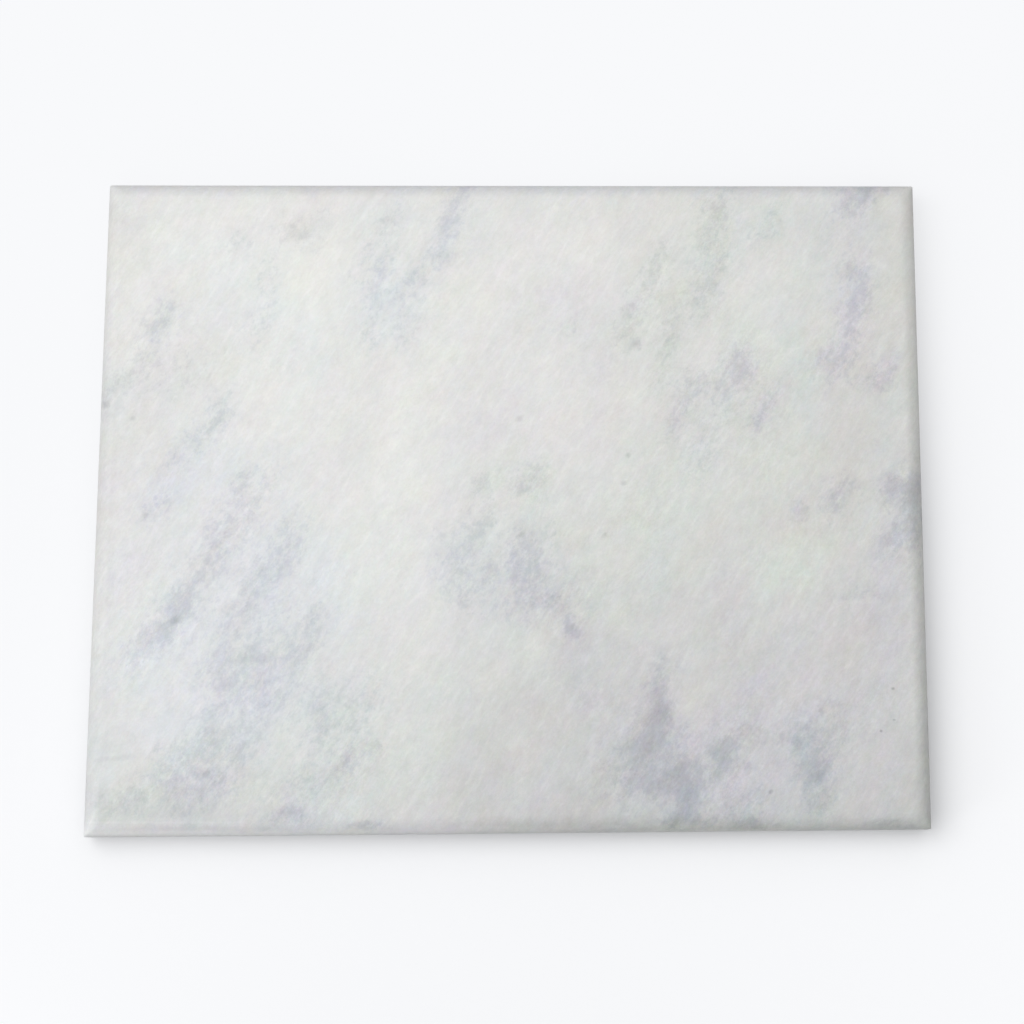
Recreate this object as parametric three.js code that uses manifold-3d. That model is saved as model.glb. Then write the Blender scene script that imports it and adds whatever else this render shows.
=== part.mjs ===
// A marble chopping board: one polished stone slab that stands on four stick-on rubber feet.
// Millimetres. +X runs along the long sides, +Y towards the back edge, +Z up.
// The origin is on the worktop, under the middle of the board.

import * as THREE from 'three';
import { mergeVertices } from 'three/addons/utils/BufferGeometryUtils.js';
import loadManifold from 'manifold-3d';

// The slab
const slabWidth = 381;
const slabDepth = 305;
const slabThickness = 16;
const topRound = 7.5; // roundover along the four top edges
const underEase = 1; // sharp edge taken off all round the underside
const cornerEase = 1; // radius of the four upright corners, seen from above

// The feet, moulded with a slight taper towards the worktop
const footDiameter = 12.7;
const footHeight = 3.5;
const footTaper = 0.5; // radius lost on the way down
const footRound = 1; // rounding of the lower rim
const footInset = 32; // from the slab's sides to a foot's centre

// The adhesive discs between the feet and the stone
const adhesiveThickness = 0.5;
const adhesiveMargin = 0.5; // how far a disc stays inside its foot's rim

// How finely round stretches are divided
const roundSteps = 10;
const easeSteps = 3;
const turnSteps = 36;

const slabBottom = footHeight + adhesiveThickness;
const quarterTurn = Math.PI / 2;
const samePoint = 1e-6;

const marble = { color: 0xdcdcda, roughness: 0.35, metalness: 0 };
const rubber = { color: 0x2b2b2c, roughness: 0.8, metalness: 0 };
const adhesive = { color: 0xd9d6cb, roughness: 0.5, metalness: 0 };

const wasm = await loadManifold();
wasm.setup();

// Local x stays x and local y stands up as z
const standUp = new THREE.Matrix4().makeBasis(
  new THREE.Vector3(1, 0, 0),
  new THREE.Vector3(0, 0, 1),
  new THREE.Vector3(0, -1, 0),
);

// Local x lies along y and local y stands up as z
const standUpSideways = new THREE.Matrix4().makeBasis(
  new THREE.Vector3(0, 1, 0),
  new THREE.Vector3(0, 0, 1),
  new THREE.Vector3(1, 0, 0),
);

function toSolid(geometry) {
  const bare = geometry.clone();
  bare.deleteAttribute('normal');
  bare.deleteAttribute('uv');
  const merged = mergeVertices(bare);
  const mesh = new wasm.Mesh({
    numProp: 3,
    vertProperties: new Float32Array(merged.attributes.position.array),
    triVerts: new Uint32Array(merged.index.array),
  });
  return new wasm.Manifold(mesh);
}

function toGeometry(solid) {
  const mesh = solid.getMesh();
  const geometry = new THREE.BufferGeometry();
  geometry.setAttribute('position', new THREE.BufferAttribute(mesh.vertProperties, mesh.numProp));
  geometry.setIndex(new THREE.BufferAttribute(mesh.triVerts, 1));
  geometry.computeVertexNormals();
  return geometry;
}

// An arc of the given radius about (x, y), in quarter turns, leaving out a point that is already there
function addArc(points, x, y, radius, fromQuarter, steps) {
  for (let i = 0; i <= steps; i += 1) {
    const angle = (fromQuarter + i / steps) * quarterTurn;
    const point = new THREE.Vector2(x + radius * Math.cos(angle), y + radius * Math.sin(angle));
    const isNew = points.length === 0 || points.at(-1).distanceTo(point) > samePoint;
    if (isNew) points.push(point);
  }
}

// The section of the slab across one of its spans: flat underneath, rounded over at both top edges
function slabSection(span) {
  const round = Math.min(topRound, slabThickness - underEase, span / 2);
  const roundX = span / 2 - round;
  const roundZ = slabBottom + slabThickness - round;
  const easeX = span / 2 - underEase;
  const easeZ = slabBottom + underEase;
  const points = [];
  addArc(points, easeX, easeZ, underEase, -1, easeSteps);
  addArc(points, roundX, roundZ, round, 0, roundSteps);
  addArc(points, -roundX, roundZ, round, 1, roundSteps);
  addArc(points, -easeX, easeZ, underEase, 2, easeSteps);
  return new THREE.Shape(points);
}

// The slab's outline from above, with its upright corners eased
function slabOutline() {
  const x = slabWidth / 2 - cornerEase;
  const y = slabDepth / 2 - cornerEase;
  const points = [];
  addArc(points, x, y, cornerEase, 0, easeSteps);
  addArc(points, -x, y, cornerEase, 1, easeSteps);
  addArc(points, -x, -y, cornerEase, 2, easeSteps);
  addArc(points, x, -y, cornerEase, 3, easeSteps);
  return new THREE.Shape(points);
}

function prism(shape, length) {
  return new THREE.ExtrudeGeometry(shape, { depth: length, bevelEnabled: false });
}

// Each pair of edges is profiled straight across, so the roundovers meet in mitres at the corners
function marbleSlab() {
  const across = prism(slabSection(slabDepth), slabWidth).translate(0, 0, -slabWidth / 2);
  const along = prism(slabSection(slabWidth), slabDepth).translate(0, 0, -slabDepth / 2);
  const upright = prism(slabOutline(), slabThickness).translate(0, 0, slabBottom);
  const solid = toSolid(across.applyMatrix4(standUpSideways))
    .intersect(toSolid(along.applyMatrix4(standUp)))
    .intersect(toSolid(upright));
  return toGeometry(solid);
}

// A foot turned about its axis: flat top, tapered side, rounded rim and a flat face on the worktop
function bumperFoot() {
  const topRadius = footDiameter / 2;
  const rimRadius = topRadius - footTaper;
  const profile = [new THREE.Vector2(0, 0)];
  addArc(profile, rimRadius - footRound, footRound, footRound, -1, easeSteps);
  profile.push(new THREE.Vector2(topRadius, footHeight));
  profile.push(new THREE.Vector2(0, footHeight));
  return new THREE.LatheGeometry(profile, turnSteps).applyMatrix4(standUp);
}

function adhesiveDisc() {
  const radius = footDiameter / 2 - adhesiveMargin;
  const profile = [
    new THREE.Vector2(0, footHeight),
    new THREE.Vector2(radius, footHeight),
    new THREE.Vector2(radius, slabBottom),
    new THREE.Vector2(0, slabBottom),
  ];
  return new THREE.LatheGeometry(profile, turnSteps).applyMatrix4(standUp);
}

function piece(name, geometry, finish) {
  const mesh = new THREE.Mesh(geometry, new THREE.MeshStandardMaterial(finish));
  mesh.name = name;
  return mesh;
}

const board = new THREE.Group();
board.add(piece('marble_slab', marbleSlab(), marble));

const footX = slabWidth / 2 - footInset;
const footY = slabDepth / 2 - footInset;
const places = [
  { corner: 'front_left', x: -footX, y: -footY },
  { corner: 'front_right', x: footX, y: -footY },
  { corner: 'back_left', x: -footX, y: footY },
  { corner: 'back_right', x: footX, y: footY },
];
for (const { corner, x, y } of places) {
  const stand = new THREE.Group();
  stand.position.set(x, y, 0);
  stand.add(piece(`adhesive_${corner}`, adhesiveDisc(), adhesive));
  stand.add(piece(`foot_${corner}`, bumperFoot(), rubber));
  board.add(stand);
}

export default board;
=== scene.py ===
import math
import bpy
import numpy as np
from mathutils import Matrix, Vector


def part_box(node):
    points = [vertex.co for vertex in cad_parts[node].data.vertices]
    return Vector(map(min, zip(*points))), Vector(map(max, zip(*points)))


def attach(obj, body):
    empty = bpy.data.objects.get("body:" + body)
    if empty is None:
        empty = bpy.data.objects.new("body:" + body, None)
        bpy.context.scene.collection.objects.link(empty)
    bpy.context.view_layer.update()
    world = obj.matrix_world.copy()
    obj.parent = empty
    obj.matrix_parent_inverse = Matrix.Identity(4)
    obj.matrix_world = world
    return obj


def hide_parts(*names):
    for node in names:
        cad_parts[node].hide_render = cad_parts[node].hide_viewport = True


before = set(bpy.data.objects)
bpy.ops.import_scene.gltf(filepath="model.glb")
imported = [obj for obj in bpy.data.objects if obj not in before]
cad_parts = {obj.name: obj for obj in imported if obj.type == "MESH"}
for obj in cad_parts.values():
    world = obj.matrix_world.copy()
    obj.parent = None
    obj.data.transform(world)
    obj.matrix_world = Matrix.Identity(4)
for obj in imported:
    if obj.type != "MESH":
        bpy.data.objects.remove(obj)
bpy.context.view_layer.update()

mm = 0.001
percent = 0.01
scene = bpy.context.scene
print("frame loaded:", sorted(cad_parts))


# small helpers for meshes and node trees

def meshObject(name, points, faces, material, node):
    mesh = bpy.data.meshes.new(name)
    mesh.from_pydata(points, [], faces)
    mesh.polygons.foreach_set("use_smooth", np.ones(len(faces), bool))
    mesh.materials.append(material)
    mesh.update()
    piece = bpy.data.objects.new(name, mesh)
    scene.collection.objects.link(piece)
    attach(piece, "root")
    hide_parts(node)
    return piece


def addNode(tree, kind, inputs, **settings):
    made = tree.nodes.new(kind)
    for key, value in settings.items():
        setattr(made, key, value)
    for key, value in inputs.items():
        if isinstance(value, bpy.types.NodeSocket):
            tree.links.new(value, made.inputs[key])
        else:
            made.inputs[key].default_value = value
    return made


def mathNode(tree, operation, *values, clamp=False):
    inputs = dict(enumerate(values))
    return addNode(tree, "ShaderNodeMath", inputs, operation=operation, use_clamp=clamp).outputs[0]


def vectorNode(tree, operation, *values):
    inputs = {0: values[0], "Scale": values[1]} if operation == "SCALE" else dict(enumerate(values))
    made = addNode(tree, "ShaderNodeVectorMath", inputs, operation=operation)
    return made.outputs["Value" if operation in ("DOT_PRODUCT", "LENGTH") else "Vector"]


def rampNode(tree, value, low, high, toLow=0.0, toHigh=1.0):  # smooth step from low to high
    inputs = {"Value": value, "From Min": low, "From Max": high, "To Min": toLow, "To Max": toHigh}
    return addNode(tree, "ShaderNodeMapRange", inputs, interpolation_type="SMOOTHSTEP").outputs[0]


def mixColour(tree, share, first, second, blend="MIX"):
    inputs = {0: share, 6: first, 7: second}
    return addNode(tree, "ShaderNodeMix", inputs, data_type="RGBA", blend_type=blend).outputs[2]


def noiseNode(tree, point, scale, detail, roughness):
    inputs = {"Vector": point, "Scale": scale, "Detail": detail, "Roughness": roughness}
    return addNode(tree, "ShaderNodeTexNoise", inputs)


def mapNode(tree, point, turn=0.0, size=(1, 1, 1)):  # the point seen from axes turned about z and scaled
    inputs = {"Vector": point, "Rotation": (0, 0, math.radians(turn)), "Scale": size}
    return addNode(tree, "ShaderNodeMapping", inputs, vector_type="TEXTURE").outputs[0]


def newMaterial(name):
    material = bpy.data.materials.new(name)
    material.use_nodes = True
    tree = material.node_tree
    shader = tree.nodes["Principled BSDF"]
    return material, tree, shader


# camera: a narrow view from just in front of the board, almost straight down

view = {
    "place": (-5.4 * mm, -174.3 * mm, 961.4 * mm),
    "tilt": (10.108, -0.373, -0.049),  # degrees about x, y and z
    "focalPixels": 2100,
    "framePixels": 1024,
    "sensor": 36.0,
    "nearest": 10 * mm,
}
cameraData = bpy.data.cameras.new("camera")
cameraData.sensor_width = view["sensor"]
cameraData.lens = view["sensor"] * view["focalPixels"] / view["framePixels"]
cameraData.clip_start = view["nearest"]
camera = bpy.data.objects.new("camera", cameraData)
camera.location = view["place"]
camera.rotation_euler = [math.radians(a) for a in view["tilt"]]
scene.collection.objects.link(camera)
scene.camera = camera
print("camera set")


# the marble

stone = {
    "lean": 57.0,  # which way the grain runs, degrees from the long side
    "dip": 0.7,  # how far the veins slide along the grain as they go down through the stone
    "stretch": 1.5,  # how much longer along the grain than across it the clouds are feathered
    "rim": 1.85,  # how far beyond its listed size a cloud reaches
    "halo": 0.2,  # how much of a cloud is a wider wash around it, and how much wider that is
    "haloSize": 2.0,
    "strength": 0.86,  # of the clouds altogether
    "warps": ((16.0, 1.0, 3), (5.0, 2.0, 2)),  # ripples that feather the clouds: size, height, layers
    "warpSeeds": ((1, 11), (21, 31)),  # for x and for y
    "scatter": (12.9898, 78.233, 37.719, 43758.5453),  # turn a place and a seed into a made-up value
    "driftSize": 12.0,
    "driftSeeds": (41, 51, 61),
    "slopeSpan": (190.0, 152.0),  # millimetres from the middle at which the next three are reached
    "tone": (-0.035, 0.06),  # painted light: how much lighter the stone is drawn towards the right and the back, a slope that stands for light falling from the back left
    "violetSlope": 0.3,  # how much more violet towards the back
    "blueSlope": (0.3, 0.7),  # how much less blue towards the right and the back
    "drift": (0.016, 0.016, 0.016),  # slow changes of light, of violet to green and of blue to yellow
    "grain": (0.36, 0.18, 0.16),  # the same for the fine grain
    "violetGain": (0.6, -0.4, 0.3),  # red, green and blue in a change to violet, and in one to blue
    "blueGain": (-0.3, -0.1, 0.9),
    "coarse": (0.9, 1.6),  # how much stronger the grain is inside the clouds
    "cloudWeights": (1.0, 0.6, 0.6),  # what slate, violet and green count for in that
    "dust": (0.5, 0.77),  # fleck noise at which a cloud's dust begins, and at which it is full
    "dustGain": 0.3,  # how much the depth of the cloud adds to that noise
    "dustRim": 0.12,  # depth below which the dust thins out
    "even": {"haze": 0.7, "green": 0.7, "violet": 0.7, "slate": 0.6},  # the part that isn't dust
    "marks": {  # noises: degrees, stretch, then marks to the millimetre, detail and roughness
        "grain": (57.0, (1.5, 1, 1), (0.16, 4, 1.0)),
        "fleck": (57.0, (1.25, 1, 1), (0.3, 3, 0.7)),
        "wisp": (51.0, (3.5, 1, 1), (0.55, 2, 0.6)),
        "streak": (61.0, (8, 1, 1), (0.3, 2, 0.6)),
        "saw": (0.0, (80, 1, 40), (0.5, 2, 0.6)),
    },
    "wisp": 0.032,  # how much the short and the long pale strokes lighten the stone
    "streak": 0.034,
    "strokes": (0.5, 0.7),  # noise at which both begin, and at which they are full
    "seam": 0.06,
    "speck": 0.25,
    "relief": 0.03 * mm,
    "rough": (0.36, 0.48),
    "fleckRange": (0.25, 0.75),  # fleck noise over which the roughness runs from one to the other
    "specular": 0.2,
    "saw": -0.12,  # the sawn underside's marks, how much rougher it is, and how many millimetres up
    "sawnRough": 0.25,
    "sawnSkin": 0.6,
    "white": (0.795, 0.798, 0.784, 1),
    "slate": (0.76, 0.77, 0.805, 1),  # the veins' colours are taken as multiples of the stone's own
    "violet": (1.006, 0.982, 1.053, 1),
    "green": (0.965, 1.009, 0.965, 1),
    "haze": (0.958, 1.003, 1.03, 1),
}

# clouds in the stone, each one (x, y, half length, half width, turn, depth) in millimetres and degrees
slateClouds = [  # blue-grey and granular
    (67, -90, 8, 2.5, 85, 0.3), (-152, -55, 9, 5, 50, 0.75), (-147, -46, 9, 5, 55, 0.5),
    (-137, -32, 10, 5, 58, 0.5), (-133, -21, 9, 6, 62, 0.35), (-128, -9, 10, 6, 68, 0.2),
    (-166, -66, 8, 4, 40, 0.35), (-158, -65, 7, 4, 40, 0.3), (-104, -26, 12, 6, 62, 0.45),
    (-97, -17, 7, 4, 70, 0.25), (-109, -33, 8, 5, 50, 0.15), (-118, -45, 8, 5, 60, 0.4),
    (-126, -57, 12, 6, 55, 0.35), (-112, -73, 5, 4, 20, 0.5), (-117, -70, 4, 3, 60, 0.5),
    (-131, -79, 8, 6, 60, 0.55), (-88, -55, 5, 3.5, 60, 0.45), (-92, -63, 7, 4, 60, 0.35),
    (-96, -70, 7, 5, 30, 0.4), (-110, -61, 12, 7, 50, 0.35), (-104, -80, 10, 7, 40, 0.2),
    (-134, -102, 7, 4, 70, 0.5), (-128, -109, 12, 5, 15, 0.35), (-112, -98, 12, 5, 40, 0.3),
    (-104, -91, 10, 5, 35, 0.05), (-132, -115, 9, 4, 10, 0.3), (-148, -116, 11, 5, 30, 0.45),
    (-118, -114, 7, 5, 40, 0.4), (-152, -125, 9, 5, 40, 0.25), (-80, -90, 10, 7, 30, 0.3),
    (-85, -105, 7, 5, 50, 0.55), (-63, -92, 8, 5, 70, 0.25), (-70, -101, 9, 5, 40, 0.25),
    (-88, -95, 6, 5, 60, 0.2), (-172, -138, 11, 4, 10, 0.45), (-148, -138, 6, 6, 60, 0.2),
    (-156, -130, 12, 5, 10, 0.2), (-95, -128, 9, 5, 30, 0.35), (-85, -131, 5, 3.5, 60, 0.45),
    (-98, -143, 8, 3.5, 10, 0.7), (-65, -149, 6, 2.5, 5, 0.9), (-72, -119, 5, 3.5, 60, 0.8),
    (-61, -114, 3, 2.5, 40, 0.5), (-135, -125, 4, 3, 0, 0.5), (-158, -4, 5, 4, 40, 0.5),
    (-165, -8, 3, 2.5, 40, 0.35), (-118, -8, 7, 3.5, 70, 0.35), (-35, -17, 3, 2, 0, 0.35),
    (-120, -86, 12, 7, 40, 0.4), (-137, -131, 12, 7, 10, 0.45), (-165, 83, 9, 4, 50, 0.5),
    (-158, 86, 4, 3, 60, 0.4), (-167, 63, 9, 5, 60, 0.35), (-150, 60, 14, 9, 40, 0.2),
    (-180, 52, 9, 5, 20, 0.35), (-187, 44, 3, 3, 0, 0.5), (-133, 38, 7, 3.5, 75, 0.65),
    (-143, 28, 8, 4.5, 40, 0.5), (-152, 17, 3, 3, 0, 0.4), (-98, 125, 8, 4, -25, 0.4),
    (-92, 132, 8, 5, 20, 0.25), (-62, 95, 9, 3, 75, 0.4), (-65, 77, 6, 4, 80, 0.25),
    (-58, 110, 8, 5, 70, 0.25), (-66, 116, 6, 4, 60, 0.2), (-55, 133, 5, 4, 60, 0.4),
    (-48, 100, 9, 4, 50, 0.3), (-41, 105, 4, 2.5, 50, 0.3), (-33, 116, 3.5, 3, 60, 0.8),
    (-27, 131, 7, 4, 75, 0.7), (-22, 144, 7, 3, 60, 0.45), (-46, 82, 10, 6, 70, 0.3),
    (-112, 105, 8, 3, 80, 0.3), (-115, 82, 10, 5, 70, 0.3), (-123, 6, 6, 4, 50, 0.5),
    (-110, 10, 5, 4, 50, 0.3), (-125, 120, 5, 4, 60, 0.25), (-12, 7, 4, 4, 60, 0.5), (10, 8, 6, 5, 60, 0.5),
    (5, 4, 4, 3, 0, 0.4), (-22, -21, 10, 6, 70, 0.4), (-12, -12, 7, 4, 60, 0.45),
    (-25, -33, 8, 8, 70, 0.25), (-10, -35, 6, 4, 60, 0.5), (-20, -45, 7, 6, 60, 0.4),
    (4, -17, 4, 2.5, 30, 0.2), (8, -22, 8, 6, 70, 0.4), (5, -33, 7, 5, 60, 0.5), (14, -33, 8, 5, 70, 0.3),
    (20, -47, 8, 5, 20, 0.35), (27, -59, 3, 3, 0, 1.3), (66, -94, 9, 4.5, 90, 0.9),
    (64, -104, 7, 5, 80, 0.7), (69, -78, 5, 3, 70, 0.5), (62, -110.5, 7, 1.6, 15, 1),
    (55, -118, 9, 6, 60, 0.7), (66, -120, 9, 7, 40, 0.55), (60, -131, 8, 5, 20, 0.6),
    (77, -125, 8, 4, 75, 0.7), (78, -138, 7, 5, 80, 0.6), (70, -130, 6, 5, 60, 0.5),
    (76, -147, 8, 3, 5, 0.8), (95, -115, 6, 5, 60, 0.7), (95, -123, 5, 4, 60, 0.4),
    (102, -107, 9, 4, 60, 0.3), (128, -108, 9, 3.5, 10, 0.6), (133, -118, 8, 7, 70, 0.5),
    (137, -123, 5, 4, 80, 0.5), (136, -136, 9, 4.5, 88, 0.5), (104, -139, 7, 6, 40, 0.4),
    (105, -149, 6, 2.5, 0, 0.8), (165, -149, 6, 2.5, 0, 0.6), (82, -132, 10, 6, 80, 0.7),
    (98, -116, 7, 6, 60, 0.4), (135, -128, 14, 7, 88, 0.1), (10, -48, 14, 8, 0, 0.3),
    (15, -20, 10, 6, 70, 0.2), (143, -97, 5, 2.5, 45, 0.35), (147, -105, 5, 2.5, 80, 0.3),
    (160, -43.5, 10, 2, 5, 0.35), (185, -8, 14, 4, 90, 0.9), (176, -16, 6, 4, 60, 0.5),
    (172, -22, 5, 3, 50, 0.4), (132, -6, 4, 3.5, 60, 0.5), (148, -3, 5, 4, 60, 0.5),
    (155, 5, 4, 3, 40, 0.3), (43, -16, 2.5, 2, 0, 0.4), (42, -125, 8, 5, 90, 0.25),
    (68, 110, 8, 4, 60, 0.5), (54, 82, 11, 4, 68, 0.45), (58, 72, 2.5, 2, 0, 0.45),
    (75, 80, 12, 3.5, 75, 0.25), (71, 65, 10, 4, 75, 0.2), (95, 105, 8, 4, 55, 0.45),
    (88, 95, 5, 4, 50, 0.35), (93, 125, 12, 6, 80, 0.45), (96, 138, 7, 5, 80, 0.4),
    (84, 52, 6, 5, 50, 0.45), (77, 38, 9, 4, 60, 0.5), (106, 62, 5, 4, 50, 0.6), (105, 50, 14, 8, 50, 0.25),
    (160, 100, 14, 6, 82, 0.3), (152, 62, 10, 6, 40, 0.3), (100, 52, 5, 4, 50, 0.3),
    (118, 43, 7, 2.5, 52, 0.4), (114, 37, 4, 3, 40, 0.4), (146, 127, 8, 8, 60, 0.1),
    (120, 130, 10, 4, 60, 0.3), (160, 138, 5, 4, 60, 0.5), (163, 146, 8, 3, 5, 0.6),
    (160, 108, 4, 4, 60, 0.4), (160, 96, 6, 4, 60, 0.6), (161, 86, 6, 4, 60, 0.5), (158, 77, 4, 3, 50, 0.4),
    (150, 66, 7, 4, 50, 0.4), (166, 56, 5, 4, 40, 0.5), (172, 52, 3, 3, 60, 0.45), (176, 63, 6, 3, 80, 0.3),
    (28, 80, 3, 2.5, 0, 0.35), (85, 20, 10, 4, 65, 0.25), (90, 15, 8, 3, 65, 0.3), (175, 6, 5, 4, 80, 0.7),
    (153, 3, 6, 4, 60, 0.35), (184, 4, 4, 4, 90, 0.7), (65, 95, 6, 4, 60, 0.25), (90, 90, 8, 5, 50, 0.3),
    (106, 66, 6, 5, 50, 0.3), (168, 143, 6, 4, 20, 0.3), (64, -110, 6, 6, 60, 0.3),
    (-162, -71, 10, 4, 40, 0.3), (-69, 105, 6, 5, 80, 0.15),
]
violetClouds = [  # violet washes
    (-130, -14, 26, 10, 62, 0.3), (-170, -29, 10, 8, 50, 0.6), (-176, -43, 6, 5, 50, 0.4),
    (-155, -58, 16, 7, 45, 0.4), (-143, -63, 12, 6, 40, 0.3), (-143, -85, 16, 9, 40, 0.45),
    (-165, -72, 10, 6, 40, 0.3), (-135, -130, 10, 7, 15, 1), (-152, -128, 6, 4, 30, 0.5),
    (-113, -88, 14, 7, 35, 0.5), (-128, -92, 12, 6, 20, 0.3), (-98, -142, 9, 5, 10, 0.9),
    (-72, -120, 6, 5, 60, 0.7), (-10, -132, 14, 10, 60, 0.3), (-10, -112, 8, 6, 60, 0.1),
    (-82, -33, 9, 8, 70, 0.4), (-100, -48, 10, 8, 40, 0.3), (-108, -28, 16, 8, 60, 0.35),
    (-150, 12, 14, 9, 40, 0.5), (-125, 4, 14, 10, 50, 0.25), (-165, 2, 10, 6, 30, 0.4),
    (-165, 78, 8, 4, 50, 0.4), (-62, 100, 9, 5, 75, 0.2), (-58, 108, 6, 5, 60, 0.35),
    (-45, 102, 10, 5, 50, 0.35), (-187, 90, 12, 3, 80, 0.4), (-176, 130, 14, 5, 88, 0.25),
    (20, 98, 22, 10, 20, 0.3), (10, 35, 20, 18, 60, 0.15), (35, 45, 14, 14, 60, 0.1),
    (-10, 45, 14, 12, 70, 0.2), (40, 70, 12, 12, 60, 0.25), (-25, 55, 12, 5, 85, 0.25),
    (160, 96, 16, 6, 82, 1), (157, 80, 8, 6, 60, 0.7), (150, 66, 9, 6, 40, 1), (161, 137, 7, 6, 50, 0.7),
    (163, 146, 10, 3, 5, 0.7), (106, 60, 8, 6, 55, 0.9), (102, 53, 6, 5, 40, 0.2), (86, 53, 8, 6, 30, 0.35),
    (77, 37, 8, 5, 60, 0.4), (118, 42, 9, 3, 52, 0.9), (174, 62, 9, 4, 70, 0.8), (168, 55, 7, 5, 40, 0.7),
    (158, 43, 5, 2.5, 85, 0.4), (165, 24, 8, 2, 60, 0.3), (155, 25, 10, 2, 60, 0.2),
    (176, 6, 7, 7, 60, 0.9), (150, 3, 9, 6, 40, 0.25), (176, -18, 8, 6, 60, 0.6),
    (172, -33, 10, 8, 60, 0.5), (155, -50, 14, 8, 20, 0.5), (170, -62, 12, 10, 60, 0.35),
    (146, -5, 7, 5, 50, 0.4), (132, -6, 5, 4, 50, 0.7), (97, -40, 8, 6, 80, 0.5),
    (100, -62, 10, 7, 70, 0.6), (112, -85, 8, 5, 50, 0.5), (125, -80, 14, 8, 30, 0.3),
    (97, -106, 12, 6, 20, 0.6), (130, -98, 14, 6, 20, 0.4), (12, -46, 12, 6, -15, 0.7),
    (28, -60, 4, 4, 0, 0.5), (30, -72, 12, 5, 95, 0.3), (35, -90, 16, 6, 100, 0.3),
    (12, -118, 14, 10, 60, 0.2), (20, -135, 14, 8, 20, 0.35), (52, -100, 14, 12, 60, 0.35),
    (85, -105, 10, 6, 60, 0.4), (100, -130, 14, 8, 20, 0.4), (150, -130, 26, 14, 10, 0.4),
    (115, -118, 14, 8, 80, 0.35), (160, -90, 24, 16, 20, 0.35), (65, -65, 8, 6, 60, 0.3),
    (50, -70, 6, 6, 60, 0.3), (110, -140, 14, 6, 0, 0.4), (85, -143, 10, 6, 20, 0.4),
    (4, -35, 8, 6, 70, 0.4), (95, -124, 10, 10, 60, 0.6), (72, -103, 10, 5, 90, 0.5),
    (105, -104, 10, 5, 60, 0.4), (30, -95, 10, 6, 95, 0.4), (46, -92, 8, 6, 80, 0.4),
    # painted shade: the long thin bands at the end of this line and the start of the next give the back and
    # front roundovers the violet cast they take in shade
    (165, -95, 14, 10, 80, 0.4), (170, -132, 8, 6, 80, 0.4), (0, 146.8, 190, 2.4, 0, 0.45),
    (-85, -150.5, 110, 3.2, 0, 0.5), (-72, -137, 10, 8, 60, 0.5), (-172, -75, 14, 10, 60, 0.3),
    (52, -128, 14, 8, 90, 0.4), (100, -90, 40, 25, 0, 0.2), (150, -108, 16, 12, 60, 0.25),
    (-30, -30, 8, 10, 70, 0.2), (125, -64, 14, 7, 30, 0.35), (86, 43, 5, 5, 0, 0.25),
    (-18, 122, 8, 8, 60, 0.35), (22, 135, 14, 8, 0, 0.35), (18, 80, 16, 10, 60, 0.25),
    (-150, 88, 14, 12, 40, 0.25), (-142, 32, 10, 6, 0, 0.3), (-70, 38, 10, 8, 60, 0.25),
    (-120, -14, 14, 5, 55, 0.3), (-110, -38, 5, 6, 60, 0.3), (-70, -56, 8, 8, 60, 0.2),
    (-172, -48, 8, 8, 0, 0.2), (180, -20, 10, 6, 90, 0.3),
]
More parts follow.
